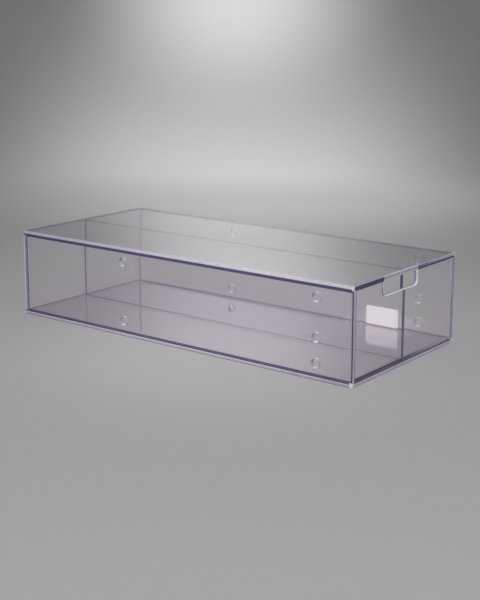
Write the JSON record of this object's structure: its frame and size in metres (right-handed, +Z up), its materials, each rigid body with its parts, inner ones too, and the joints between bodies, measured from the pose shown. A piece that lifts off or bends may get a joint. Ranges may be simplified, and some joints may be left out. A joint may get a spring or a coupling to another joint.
{
  "type": "desk organizer",
  "caption": "Low rectangular desk organizer of clear tinted sheet, split lengthwise into channels, with cable holes, a finger notch and a lift-off flat lid.",
  "frame": {"origin": "on the surface that the box stands on, at the centre of its footprint", "axes": "+Z up; +X along the length, towards the end with the finger notch; the front long wall is on the -Y side"},
  "size_m": [0.6096, 0.2666, 0.1333],
  "materials": {
    "tinted_sheet": "gloss",
    "lid_sheet": "gloss",
    "label_film": "matte"
  },
  "bodies": {
    "box": {"base_plate": "tinted_sheet", "front_wall": "tinted_sheet", "rear_wall": "tinted_sheet", "left_end_wall": "tinted_sheet", "right_end_wall": "tinted_sheet", "divider": "tinted_sheet", "label": "label_film"},
    "lid": {"lid": "lid_sheet"}
  },
  "joints": [
    {"name": "lid_lift", "type": "slide", "parent": "box", "child": "lid", "axis": [0, 0, 1], "range_m": [0, 0.15]}
  ]
}
